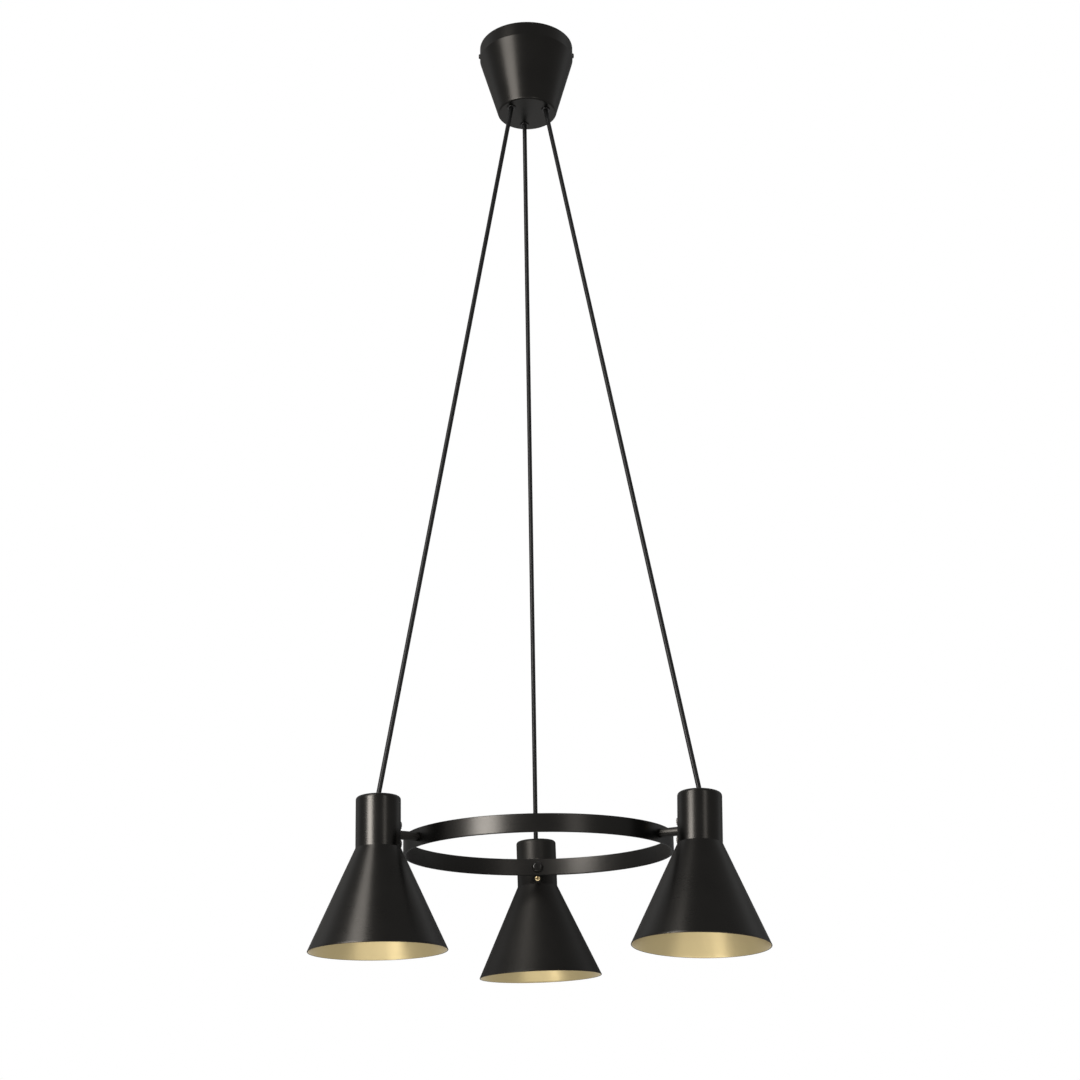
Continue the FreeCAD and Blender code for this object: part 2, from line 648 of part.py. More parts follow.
def bent_tube(name, points, radius):
    """A round tube along straight runs joined by tangent arcs, each as large as its runs allow."""
    turns = []
    for before, here, after in zip(points, points[1:], points[2:]):
        inward = (here - before).normalize()
        onward = (after - here).normalize()
        half = inward.getAngle(onward) / 2
        reach = 0.45 * min((here - before).Length, (after - here).Length)
        turns.append((here - inward * reach, here, here + onward * reach, reach / math.tan(half), half))
    edges = []
    last = points[0]
    length = 0.0
    for first, here, final, bend, half in turns:
        edges.append(Part.LineSegment(last, first).toShape())
        chord_middle = (first + final) * 0.5
        middle_gap = bend / math.cos(half) - bend
        inner = here + (chord_middle - here).normalize() * middle_gap
        edges.append(Part.Arc(first, inner, final).toShape())
        length += (first - last).Length + bend * 2 * half
        last = final
    edges.append(Part.LineSegment(last, points[-1]).toShape())
    length += (points[-1] - last).Length
    ring = Part.Wire([Part.Circle(points[0], points[1] - points[0], radius).toShape()])
    solid = Part.Wire(edges).makePipeShell([ring], True, False)
    expected = math.pi * radius ** 2 * length
    bends = ", ".join(f"{turn[3]:.1f}" for turn in turns)
    print(f"{name}: length {length:.1f}, radii {bends}, volume share {solid.Volume / expected:.5f}")
    return solid


# Canopy leads: the cords' inner ends, up from the glands' mouths into the terminal block.
leads = []
for side in STATIONS:
    gland_spot = gland_place(side, mouth_height).Base
    above = gland_spot + UP * cell("lead_rise")
    pole = Vector(poles[side], 0, block_bottom - cell("lead_drop"))
    inside = Vector(poles[side], 0, block_bottom + cell("pole_depth"))
    leads.append(bent_tube(side + " lead", [gland_spot, above, pole, inside], cell("cord_radius")))
canopy_leads = doc.addObject("Part::Feature", "canopy_leads")
canopy_leads.Label = "canopy_leads"
canopy_leads.Shape = Part.makeCompound(leads)
node(canopy_leads)

# Cords: straight and taut from each gland's mouth to the bush on each neck, cut level at both ends.
for side in STATIONS:
    top = gland_place(side, mouth_height - cell("cord_gap")).Base
    bottom = shade_place(side).multVec(Vector(0, 0, cell("bush_top") + cell("cord_gap")))
    line = (bottom - top).normalize()
    spare = 2 * cell("cord_radius")
    span = (bottom - top).Length
    rod = Part.makeCylinder(cell("cord_radius"), span + 2 * spare, top - line * spare, line)
    slab_half = cell("shade_circle") + cell("neck_radius")
    slab_corner = Vector(-slab_half, -slab_half, bottom.z)
    slab = Part.makeBox(2 * slab_half, 2 * slab_half, top.z - bottom.z, slab_corner)
    cord = doc.addObject("Part::Feature", side + "_cord")
    cord.Label = side + "_cord"
    cord.Shape = rod.common(slab)
    share = cord.Shape.Volume / (math.pi * cell("cord_radius") ** 2 * span)
    print(f"{side} cord: straight, length {span:.1f}, volume share {share:.5f}")
    node(cord)

# Spreader ring: a flat band rolled into a circle, drilled at each station.
band = turned("spreader_ring", [
    ("ring_radius - ring_thick", "-ring_tall / 2"),
    ("ring_radius", "-ring_tall / 2"),
    ("ring_radius", "ring_tall / 2"),
    ("ring_radius - ring_thick", "ring_tall / 2"),
])
band_edges = []
for radius in (cell("ring_radius"), cell("ring_radius") - cell("ring_thick")):
    for way in (-1, 1):
        band_edges.append((radius, way * cell("ring_tall") / 2))
round_circles(band, "band_edges", "ring_edge", band_edges)
band_hole = draw_circles(band, "band_hole_circle", "YZ_Plane", [("0", "0", "arm_hole")])
band_hole_cut = pocket(band, band_hole, "band_hole", reverse=True)
repeat_round(band, band_hole_cut, "band_holes", "3")
node(at(band, station("rear", -cell("ring_drop"))))

# Arms: a spacer tube, a washer and a nut on a domed screw that runs from the ring into the neck.
arm_height = -cell("ring_drop")


def on_arm(side, reach, direction=OUTWARD):
    """A place on an arm's axis at a distance from the light's axis, Z along a direction of the arm."""
    return station(side, arm_height).multiply(facing(Vector(reach, 0, 0), direction))


for side in STATIONS:
    tube = cylinder(side + "_tube_blank", "arm_tube_radius", "arm_long")
    tube_bore = cylinder(side + "_tube_bore", "arm_hole", "arm_long")
    arm_tube = node(cut_out(side + "_arm_tube", tube, tube_bore))
    at(arm_tube, on_arm(side, cell("ring_radius")))

washer_blank = cylinder("arm_washer_blank", "arm_washer_radius", "arm_washer_thick")
washer_bore = cylinder("arm_washer_bore", "arm_hole", "arm_washer_thick")
arm_washer = cut_out("arm_washer", washer_blank, washer_bore)
group("arm_washers", arm_washer, [on_arm(side, cell("tube_end")) for side in STATIONS])

arm_nut = nut("arm_nut", "arm_nut_flats", "arm_nut_thick", "arm_screw_radius")
nut_reach = cell("shade_circle") - cell("nut_face")
group("arm_nuts", arm_nut, [on_arm(side, nut_reach) for side in STATIONS])

arm_screw_long = "shade_circle - nut_face + arm_nut_thick + screw_tip - head_seat"
arm_screw = turned("arm_screw", [
    ("0", f"-({arm_screw_long})"),
    ("arm_screw_radius", f"-({arm_screw_long})"),
    ("arm_screw_radius", "0"),
    ("arm_head_radius", "0"),
    ("arm_head_radius", "arm_head_tall"),
    ("0", "arm_head_tall"),
])
arm_head_edge = [(cell("arm_head_radius"), cell("arm_head_tall"))]
round_circles(arm_screw, "arm_screw_dome", "arm_head_round", arm_head_edge)
driver_slot = draw_outline(arm_screw, "driver_slot_outline", "XY_Plane", [
    ("-arm_head_radius", "-arm_slot_wide / 2"),
    ("arm_head_radius", "-arm_slot_wide / 2"),
    ("arm_head_radius", "arm_slot_wide / 2"),
    ("-arm_head_radius", "arm_slot_wide / 2"),
])
driver_slot.AttachmentOffset = lift(cell("arm_head_tall"))
pocket(arm_screw, driver_slot, "driver_slot", "arm_slot_deep")
slot_turn = Placement(Vector(), Rotation(UP, cell("arm_slot_turn")))
arm_screw_places = [on_arm(side, cell("head_seat"), -OUTWARD).multiply(slot_turn) for side in STATIONS]
group("arm_screws", arm_screw, arm_screw_places)

# Toothed washer, dished to take its screw's head, and brass screw: each made once for every arm.
star_washer = new_body("star_washer")
star_disc = star_washer.newObject("PartDesign::Pad", "star_disc")
star_disc.Profile = draw_circles(star_washer, "star_circles", "XY_Plane", [
    ("0", "0", "star_radius"),
    ("0", "0", "brass_hole"),
])
bind(star_disc, Length="star_thick")
doc.recompute()
star_recess = draw_circles(star_washer, "star_recess_circle", "XY_Plane", [
    ("0", "0", "brass_head_radius + hole_gap"),
])
star_recess.AttachmentOffset = lift(cell("star_seat"))
pocket(star_washer, star_recess, "star_recess", "star_thick - star_seat", reverse=True)
notch_circle = draw_circles(star_washer, "star_notch_circle", "XY_Plane", [
    ("star_radius", "0", "star_notch"),
])
star_notch_cut = pocket(star_washer, notch_circle, "star_notch_cut", "star_thick", reverse=True)
repeat_round(star_washer, star_notch_cut, "star_notches", "star_teeth")
brass_long = "neck_radius + star_seat - leg_back + screw_tip"
bracket_screw = small_screw("bracket_screw", brass_long)
screw_heights = (cell("bracket_screw_pitch"), -cell("bracket_screw_pitch"))

# Shades: each is one spun piece, and everything below is placed on its own arm.
for side in STATIONS:
    place = shade_place(side)

    # Shade: a cylinder neck with a rounded top, folded crisply into a straight cone.
    shade = turned(side + "_shade", [
        ("rim_bore", "-rim_drop"),
        ("rim_radius", "-rim_drop"),
        ("neck_radius", "-neck_fold"),
        ("neck_radius", "neck_top"),
        ("bush_thread_radius + hole_gap", "neck_top"),
        ("bush_thread_radius + hole_gap", "neck_ceiling"),
        ("neck_bore", "neck_ceiling"),
        ("neck_bore", "-fold_inside"),
    ])
    outer_top = [(cell("neck_radius"), cell("neck_top"))]
    round_circles(shade, side + "_neck_corner", "neck_corner + shade_wall", outer_top)
    inner_top = [(cell("neck_bore"), cell("neck_ceiling"))]
    round_circles(shade, side + "_neck_inner_corner", "neck_corner", inner_top)
    neck_holes = draw_circles(shade, side + "_neck_hole_circles", "YZ_Plane", [
        ("0", "0", "pivot_hole"),
        ("0", "bracket_screw_pitch", "brass_hole"),
        ("0", "-bracket_screw_pitch", "brass_hole"),
    ])
    pocket(shade, neck_holes, side + "_neck_holes")
    node(at(shade, place))

    # Cord bush: a flanged collar through the neck's top, held by a nut from inside.
    bush = turned(side + "_cord_bush", [
        ("grip_bore", "neck_top - bush_thread_long"),
        ("bush_thread_radius", "neck_top - bush_thread_long"),
        ("bush_thread_radius", "neck_top"),
        ("bush_flange_radius", "neck_top"),
        ("bush_flange_radius", "bush_top"),
        ("grip_bore", "bush_top"),
    ])
    flange_edge = [(cell("bush_flange_radius"), cell("bush_top"))]
    round_circles(bush, side + "_bush_edge", "bush_flange_round", flange_edge)
    node(at(bush, place))
    bush_nut = node(nut(side + "_bush_nut", "bush_nut_flats", "bush_nut_thick", "bush_thread_radius"))
    at(bush_nut, place.multiply(lift(cell("neck_ceiling") - cell("bush_nut_thick"))))

    # Neck lead: the cord's end, through the bush and the hollow bolt into the lampholder.
    lead_foot = "chamber_top - chamber_tall / 2"
    neck_lead = node(cylinder(side + "_neck_lead", "cord_radius", f"bush_top - ({lead_foot})"))
    at(neck_lead, place.multiply(lift(cell("chamber_top") - cell("chamber_tall") / 2)))

    # Holder bracket: a bent strap, its leg on the neck's inner wall and its shelf over the lampholder.
    bracket = padded(side + "_holder_bracket", "XZ_Plane", [
        ("-leg_face", "-bracket_foot"),
        ("-leg_back", "-bracket_foot"),
        ("-leg_back", "bracket_seat"),
        ("bracket_reach", "bracket_seat"),
        ("bracket_reach", "bracket_seat + bracket_thick"),
        ("-leg_face", "bracket_seat + bracket_thick"),
    ], "bracket_wide")
    shelf_top = cell("bracket_seat") + cell("bracket_thick")
    outer_bend = [(-cell("leg_face"), shelf_top)]
    round_bends(bracket, side + "_bracket_outer_bend", "bracket_bend + bracket_thick", outer_bend)
    inner_bend = [(-cell("leg_back"), cell("bracket_seat"))]
    round_bends(bracket, side + "_bracket_inner_bend", "bracket_bend", inner_bend)
    leg_holes = draw_circles(bracket, side + "_leg_hole_circles", "YZ_Plane", [
        ("0", "0", "pivot_hole"),
        ("0", "bracket_screw_pitch", "brass_radius"),
        ("0", "-bracket_screw_pitch", "brass_radius"),
    ])
    pocket(bracket, leg_holes, side + "_leg_holes")
    shelf_hole = draw_circles(bracket, side + "_shelf_hole_circle", "XY_Plane", [
        ("0", "0", "nipple_radius + hole_gap"),
    ])
    pocket(bracket, shelf_hole, side + "_shelf_hole", reverse=True)
    node(at(bracket, place))

    # Brass screws above and below the arm, each sunk in its toothed washer.
    neck_face = -cell("neck_radius")
    washer_places = [place.multiply(facing(Vector(neck_face, 0, up), -OUTWARD)) for up in screw_heights]
    group(side + "_star_washers", star_washer, washer_places)
    head_face = neck_face - cell("star_seat")
    screw_places = [place.multiply(facing(Vector(head_face, 0, up), -OUTWARD)) for up in screw_heights]
    group(side + "_bracket_screws", bracket_screw, screw_places)

    # Holder nipple: a hollow bolt through the shelf into the lampholder's top.
    bolt_head = hexagon(side + "_nipple_head", "nipple_head_flats", "nipple_head_thick")
    bolt_foot = -cell("bracket_thick") - cell("holder_cap_thick")
    bolt_long = "bracket_thick + holder_cap_thick + nipple_head_thick"
    bolt_shank = at(cylinder(side + "_nipple_shank", "nipple_radius", bolt_long), lift(bolt_foot))
    bolt_bore = at(cylinder(side + "_nipple_bore", "nipple_bore", bolt_long), lift(bolt_foot))
    bolt = join(side + "_nipple_blank", bolt_head, bolt_shank)
    nipple = node(cut_out(side + "_holder_nipple", bolt, bolt_bore))
    at(nipple, place.multiply(lift(shelf_top)))

    # Lampholder: a moulded sleeve with a sloping shoulder, open at the bottom.
    holder = turned(side + "_lampholder", [
        ("nipple_radius", "bracket_seat"),
        ("holder_cap_radius", "bracket_seat"),
        ("holder_radius", "bracket_seat - holder_shoulder"),
        ("holder_radius", "bracket_seat - holder_long"),
        ("holder_bore", "bracket_seat - holder_long"),
        ("holder_bore", "chamber_top - holder_wall"),
        ("holder_cap_radius - holder_wall", "chamber_top"),
        ("nipple_radius", "chamber_top"),
    ])
    node(at(holder, place))

    # Socket insert: a disc in the holder's bore with a brass sleeve that the bulb screws into.
    insert = turned(side + "_socket_insert", [
        ("0", "insert_top"),
        ("0", "bulb_top"),
        ("bulb_cap_radius + hole_gap", "bulb_top"),
        ("bulb_cap_radius + hole_gap", "bulb_top - insert_long"),
        ("bulb_cap_radius + hole_gap + insert_wall", "bulb_top - insert_long"),
        ("bulb_cap_radius + hole_gap + insert_wall", "bulb_top"),
        ("holder_bore", "bulb_top"),
        ("holder_bore", "insert_top"),
    ])
    node(at(insert, place))

    # Bulb: a hollow screw cap and a thin glass ball with a sloping shoulder.
    bulb_cap = turned(side + "_bulb_cap", [
        ("bulb_cap_radius - bulb_cap_wall", "glass_top"),
        ("bulb_cap_radius", "glass_top"),
        ("bulb_cap_radius", "bulb_top"),
        ("0", "bulb_top"),
        ("0", "bulb_top - bulb_contact"),
        ("bulb_cap_radius - bulb_cap_wall", "bulb_top - bulb_contact"),
    ])
    contact_edge = [(cell("bulb_cap_radius"), cell("bulb_top"))]
    round_circles(bulb_cap, side + "_bulb_contact", "bulb_cap_round", contact_edge)
    node(at(bulb_cap, place))
    skins = []
    for skin, less in (("outer", "0"), ("inner", "glass_wall")):
        ball = doc.addObject("Part::Sphere", f"{side}_bulb_{skin}_ball")
        bind(ball, Radius=f"bulb_radius - {less}")
        shoulder = doc.addObject("Part::Cone", f"{side}_bulb_{skin}_shoulder")
        bind(
            shoulder,
            Radius1=f"sqrt((bulb_radius - {less}) ^ 2 - bulb_shoulder ^ 2)",
            Radius2=f"bulb_neck_radius - {less}",
            Height="glass_top - bulb_middle - bulb_shoulder",
        )
        at(shoulder, lift(cell("bulb_shoulder")))
        skins.append(join(f"{side}_bulb_{skin}", ball, shoulder))
    bulb_glass = node(cut_out(side + "_bulb_glass", *skins))
    at(bulb_glass, place.multiply(lift(cell("bulb_middle"))))

doc.recompute()

# Every object has to be sound before anything is written.
for thing in doc.Objects:
    if "Invalid" in thing.State or "Error" in thing.State:
        raise RuntimeError(f"{thing.Label} is {thing.State}")
os.makedirs("parts", exist_ok=True)
for piece in nodes:
    shape = piece.Shape
    if shape.isNull() or not shape.isValid() or not shape.Solids:
        raise RuntimeError(f"{piece.Label} has no sound solid")
for piece in nodes:
    piece.Shape.exportStep(f"parts/{piece.Label}.step")
print(f"{len(nodes)} nodes written")
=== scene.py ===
"""Looks of the pendant light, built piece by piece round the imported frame.

Metres in the scene, millimetres in the sizes; +Z up, origin on the ceiling at the
canopy's centre, rear shade towards +Y.
"""
import math

import bmesh
import bpy
import numpy as np
from mathutils import Matrix, Vector


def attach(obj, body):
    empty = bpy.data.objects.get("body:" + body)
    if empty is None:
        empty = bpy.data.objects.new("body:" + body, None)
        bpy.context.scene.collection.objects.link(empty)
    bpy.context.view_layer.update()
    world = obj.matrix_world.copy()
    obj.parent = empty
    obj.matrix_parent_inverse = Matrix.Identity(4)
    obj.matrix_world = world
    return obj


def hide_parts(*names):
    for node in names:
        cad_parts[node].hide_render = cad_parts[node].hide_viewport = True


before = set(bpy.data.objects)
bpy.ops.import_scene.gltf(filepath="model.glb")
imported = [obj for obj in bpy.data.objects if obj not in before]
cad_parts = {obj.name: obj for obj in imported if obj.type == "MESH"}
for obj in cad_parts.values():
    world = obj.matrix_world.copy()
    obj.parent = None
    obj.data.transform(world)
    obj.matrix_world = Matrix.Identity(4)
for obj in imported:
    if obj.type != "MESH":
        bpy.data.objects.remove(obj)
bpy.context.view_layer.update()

# Camera: at the height of the shades' rims, tilted up along the cords to the canopy.
# Its place, turn and lens come from where the real corners stand in the photograph.
CAMERA_SPOT = (-0.02298, -1.98470, -1.36673)
CAMERA_TURNS = ((-0.8755, "Z"), (19.1746, "X"), (0.9552, "Y"), (90.0, "X"))
camera_data = bpy.data.cameras.new("camera")
camera_data.sensor_width = 36.0
camera_data.lens = 59.4917
camera_data.clip_start = 0.05
camera_data.clip_end = 60.0
camera = bpy.data.objects.new("camera", camera_data)
bpy.context.scene.collection.objects.link(camera)
aim = Matrix.Translation(CAMERA_SPOT)
for degrees, axis in CAMERA_TURNS:
    aim = aim @ Matrix.Rotation(math.radians(degrees), 4, axis)
camera.matrix_world = aim
bpy.context.scene.camera = camera

# Cords: three round black flexes, each drawn straight by the weight of its shade.
# A cord runs from its gland under the canopy to the bush on top of its shade's neck.
MM = 0.001
BEARINGS = {"left": 210.0, "right": 330.0, "rear": 90.0}
HUNG_TURNS = {"left": 1.4, "right": -4.6, "rear": -1.2}
RING_DROP = 1037.0
SHADE_CIRCLE = 196.8
FLOOR_DROP = 97.4
GLAND_CIRCLE = 25.5
GLAND_TURN = 7.5
GLAND_MOUTH = -1.2
BUSH_MOUTH = 40.8
CORD_RADIUS = 2.7
CORD_GAP = 0.3
CORD_INTO_GLAND = 0.8
CORD_INTO_BUSH = 1.3
CORD_HELD = 30.0
CORD_LENGTHS = {"left": 0.9133, "right": 0.9134, "rear": 0.9133}


def spin(degrees, axis="Z"):
    """Turn about an axis, as a 4 by 4 array."""
    return np.array(Matrix.Rotation(math.radians(degrees), 4, axis))


def shift(x, y, z):
    """Move by millimetres, as a 4 by 4 array."""
    return np.array(Matrix.Translation((x, y, z)))


def shade_place(side):
    """Frame of a shade in millimetres: origin where its axis meets its arm.

    Z runs up its neck and X outwards.
    """
    arm = shift(0, 0, -RING_DROP) @ spin(BEARINGS[side])
    return arm @ shift(SHADE_CIRCLE, 0, 0) @ spin(HUNG_TURNS[side], "X")


def gland_place(side):
    """Frame of a gland in millimetres: origin on its axis at the canopy's floor, Z up."""
    axle = shift(0, 0, -FLOOR_DROP) @ spin(BEARINGS[side] + GLAND_TURN)
    return axle @ shift(GLAND_CIRCLE, 0, 0)


def carried(place, points):
    """Points in millimetres carried by a frame into the scene's metres."""
    points = np.asarray(points, float)
    return (points @ place[:3, :3].T + place[:3, 3]) * MM


SATIN_TURN = (0.35, 0.80)
SATIN_DULLING = 0.45


class Wire:
    """A value on its way through a node tree: arithmetic on it adds Math nodes."""

    def __init__(self, nodes, socket):
        self.nodes, self.socket = nodes, socket

    def reckon(self, operation, other):
        return self.nodes.node("ShaderNodeMath", {0: self, 1: other}, operation=operation)

    def __add__(self, other):
        return self.reckon("ADD", other)

    def __mul__(self, other):
        return self.reckon("MULTIPLY", other)

    __radd__ = __add__
    __rmul__ = __mul__

    def ramp(self, low, high):
        """Smooth step from 0 at low to 1 at high."""
        values = {0: self, 1: low, 2: high}
        return self.nodes.node("ShaderNodeMapRange", values, interpolation_type="SMOOTHSTEP")


class Nodes:
    """A node tree under way. node() adds any node: its settings first, then its inputs."""

    def __init__(self, tree):
        self.tree = tree
        tree.nodes.clear()

    def node(self, kind, inputs=(), out=0, **settings):
        made = self.tree.nodes.new(kind)
        for key, value in settings.items():
            setattr(made, key, value)
        for key, value in dict(inputs).items():
            if isinstance(value, Wire):
                self.tree.links.new(value.socket, made.inputs[key])
            else:
                made.inputs[key].default_value = value
        return Wire(self, made.outputs[out]) if made.outputs else made


class Finish(Nodes):
    """A material under way."""

    def __init__(self, name):
        self.material = bpy.data.materials.new(name)
        self.material.use_nodes = True
        super().__init__(self.material.node_tree)

    def place(self):
        """Object coordinates, in metres."""
        return self.node("ShaderNodeTexCoord", out="Object")

    def bench(self):
        """The piece's own coordinates before it was hung: metres, Z along its axis."""
        return self.node("ShaderNodeAttribute", out="Vector", attribute_name="bench")

    def along(self, vector, letter):
        """One of a vector's three numbers."""
        return self.node("ShaderNodeSeparateXYZ", {0: vector}, out=letter)

    def clouds(self, vector, scale, detail):
        """Soft noise from 0 to 1 in lumps of about 1/scale metres."""
        return self.node("ShaderNodeTexNoise", {"Vector": vector, "Scale": scale, "Detail": detail})

    def lines(self, number, scale, detail):
        """Noise of one number alone, which draws rings or lines square to that direction."""
        values = {"W": number, "Scale": scale, "Detail": detail, "Roughness": 0.4}
        return self.node("ShaderNodeTexNoise", values, noise_dimensions="1D")

    def blend(self, share, first, second):
        """Colour between two colours, each three numbers or a wire."""
        pair = [end if isinstance(end, Wire) else (*end, 1.0) for end in (first, second)]
        values = {0: share, 6: pair[0], 7: pair[1]}
        return self.node("ShaderNodeMix", values, out=2, data_type="RGBA")

    def bump(self, height, depth):
        """Normal of a surface whose height, from 0 to 1, stands for a depth in metres."""
        return self.node("ShaderNodeBump", {"Height": height, "Distance": depth}, out="Normal")

    def satin(self, gloss):
        """Roughness that opens out where the surface is seen edge on, as satin paint does."""
        facing = self.node("ShaderNodeLayerWeight", {"Blend": 0.5}, out="Facing")
        return facing.ramp(*SATIN_TURN) * SATIN_DULLING + gloss

    def done(self, **inputs):
        """Close the finish with its shader: inputs by name, with _ for a space."""
        values = {key.replace("_", " "): value for key, value in inputs.items()}
        shader = self.node("ShaderNodeBsdfPrincipled", values)
        self.node("ShaderNodeOutputMaterial", {"Surface": shader})
        return self.material


def clouded_finish(name, scale, detail, tones, gloss, spread, depth=0.0, satin=False, **inputs):
    """A finish whose tone, gloss and height drift together in soft clouds.

    Roughness runs from gloss to gloss + spread; depth is the clouds' height in metres.
    """
    finish = Finish(name)
    cloud = finish.clouds(finish.place(), scale, detail)
    rough = cloud * spread + gloss
    if depth:
        inputs["Normal"] = finish.bump(cloud, depth)
    return finish.done(
        Base_Color=finish.blend(cloud, *tones),
        Roughness=finish.satin(rough) if satin else rough,
        **inputs,
    )


black_flex = clouded_finish(
    "black_flex", scale=120.0, detail=2.0,
    tones=((0.002, 0.002, 0.002), (0.005, 0.005, 0.005)),
    gloss=0.38, spread=0.05, depth=0.000004, satin=True, Specular_IOR_Level=0.10,
)
for side, length in CORD_LENGTHS.items():
    spots = [(0, 0, GLAND_MOUTH), (0, 0, GLAND_MOUTH - CORD_GAP)]
    mouth, top = carried(gland_place(side), spots)
    foot = carried(shade_place(side), [(0, 0, BUSH_MOUTH + CORD_GAP)])[0]
    line = (foot - top) / np.linalg.norm(foot - top)
    start = top - line * (CORD_GAP + CORD_INTO_GLAND) * MM
    end = foot + line * (CORD_GAP + CORD_INTO_BUSH) * MM
    held = line * CORD_HELD * MM
    route = [start, top + held, foot - held, end]
    curve = bpy.data.curves.new(side + "_flex", "CURVE")
    curve.dimensions = "3D"
    spline = curve.splines.new("NURBS")
    spline.points.add(len(route) - 1)
    for point, spot in zip(spline.points, route):
        point.co = (*spot, 1.0)
    spline.order_u = 3
    spline.use_endpoint_u = True
    curve.bevel_depth = CORD_RADIUS * MM
    curve.bevel_resolution = 10
    curve.resolution_u = 8
    curve.use_fill_caps = True
    curve.materials.append(black_flex)
    cord = bpy.data.objects.new(side + "_flex", curve)
    bpy.context.scene.collection.objects.link(cord)
    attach(cord, side + "_cord_line")
    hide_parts(side + "_cord")

# Ceiling strap: zinc-plated steel, pressed with slots for the ceiling's screws.
# It carries the terminal block, the earth screw and the canopy.
ZINC_TONES = ((0.42, 0.42, 0.40), (0.66, 0.65, 0.61))


def zinc_finish():
    """Bright zinc plating: pale steel with soft grey spangle and a fine rolled grain."""
    finish = Finish("zinc_plating")
    place = finish.place()
    spangle = finish.clouds(place, scale=140.0, detail=4.0)
    grain = finish.lines(finish.along(place, "Y"), scale=2600.0, detail=3.0)
    return finish.done(
        Base_Color=finish.blend(spangle, *ZINC_TONES),
        Metallic=1.0,
        Roughness=spangle * 0.18 + 0.26,
        Normal=finish.bump(grain, depth=0.00001),
    )


def dress(material, *names):
    """Give CAD nodes a finish."""
    for name in names:
        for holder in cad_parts[name].material_slots:
            holder.material = material


zinc_plating = zinc_finish()
dress(zinc_plating, "ceiling_bracket", "block_screw")

# Earth and terminal screws: turned brass, warm yellow, its tone and gloss drifting in fine clouds.
# They hold the wires to the strap and in the terminal block.
turned_brass = clouded_finish(
    "turned_brass", scale=900.0, detail=3.0,
    tones=((0.80, 0.60, 0.30), (0.92, 0.76, 0.46)),
    gloss=0.16, spread=0.15, depth=0.00001, Metallic=1.0,
)
dress(turned_brass, "earth_screw", "terminal_screws")

# Terminal block: white moulded block whose three poles take the cords' inner ends.
# The mains wires come in from the ceiling.


def moulding_finish(name, tones, gloss, shine):
    """Moulded plastic: even colour with faint flow marks and a fine pebbled skin."""
    finish = Finish(name)
    place = finish.place()
    flow = finish.clouds(place, scale=90.0, detail=3.0)
    pebble = finish.clouds(place, scale=2400.0, detail=2.0)
    return finish.done(
        Base_Color=finish.blend(flow, *tones),
        Roughness=finish.satin(flow * 0.12 + gloss),
        Specular_IOR_Level=shine,
        Normal=finish.bump(pebble, depth=0.00001),
    )


white_moulding = moulding_finish(
    "white_moulding", tones=((0.66, 0.65, 0.60), (0.76, 0.75, 0.71)), gloss=0.38, shine=0.4,
)
black_moulding = moulding_finish(
    "black_moulding", tones=((0.004, 0.004, 0.004), (0.009, 0.008, 0.008)), gloss=0.26, shine=0.13,
)
dress(white_moulding, "terminal_block")

# Canopy: one spun steel cup, lacquered black-brown, an upright collar over a cone.
# Its flat floor is drilled for three glands and its collar for the two strap screws.
CANOPY_WALL = 1.2
CANOPY_RADIUS = 60.0
CANOPY_MOUTH = -0.745
COLLAR_FOOT = -18.0
FLOOR_RADIUS = 37.1
STRAP_SCREW_HEIGHT = -10.5
STRAP_SCREW_HOLE = 2.3
GLAND_HOLE = 4.15
UNDIVIDED = 1e9
LENGTH_SLACK = 1e-6
SAME_SPOT = 1e-7
SHARP_ANGLE = 38.0


def rounded(corners, steps=7, closed=False):
    """A line through corners of (radius, height, rounding, step of the run that follows).

    A rounding is an arc tangent to both runs: its centre stands on the corner's
    bisector. A run longer than its step is divided evenly, and UNDIVIDED leaves it whole.
    """
    spots = np.array([corner[:2] for corner in corners], float)
    count = len(corners)
    line, strides = [], []
    for i, (_, _, rounding, step) in enumerate(corners):
        here = spots[i]
        ended = not closed and i in (0, count - 1)
        if ended or rounding <= 0:
            line.append(here)
            strides.append(step)
            continue
        back, ahead = spots[i - 1] - here, spots[(i + 1) % count] - here
        back, ahead = back / np.linalg.norm(back), ahead / np.linalg.norm(ahead)
        half = math.acos(np.clip(back @ ahead, -1, 1)) / 2
        bisector = (back + ahead) / np.linalg.norm(back + ahead)
        centre = here + bisector * rounding / math.sin(half)
        first = here + back * rounding / math.tan(half) - centre
        last = here + ahead * rounding / math.tan(half) - centre
        sweep = math.pi - 2 * half
        share = np.linspace(0, 1, steps + 1)[:, None]
        arc = np.sin((1 - share) * sweep) * first + np.sin(share * sweep) * last
        line.extend(centre + arc / math.sin(sweep))
        strides.extend([UNDIVIDED] * steps + [step])
    if closed:
        line.append(line[0])
    filled = []
    for i in range(len(line) - 1):
        run = line[i + 1] - line[i]
        parts = max(1, math.ceil(np.linalg.norm(run) / strides[i] - LENGTH_SLACK))
        filled.extend(line[i] + run * part / parts for part in range(parts))
    if not closed:
        filled.append(line[-1])
    return np.array(filled)


def inset(line, wall):
    """The line of a sheet's other skin: every point moved by the wall, left of its travel."""
    runs = np.diff(line, axis=0)
    runs /= np.linalg.norm(runs, axis=1)[:, None]
    travel = np.vstack([runs[:1], runs[:-1] + runs[1:], runs[-1:]])
    travel /= np.linalg.norm(travel, axis=1)[:, None]
    return line + wall * np.stack([-travel[:, 1], travel[:, 0]], 1)


def swung(line, columns):
    """A line of (radius, height) swung about Z: (r cos a, r sin a, h) at even angles a."""
    angle = np.arange(columns) * 2 * math.pi / columns
    radius, height = line[:, :1], line[:, 1:]
    return np.stack([radius * np.cos(angle), radius * np.sin(angle), height + 0 * angle], -1)


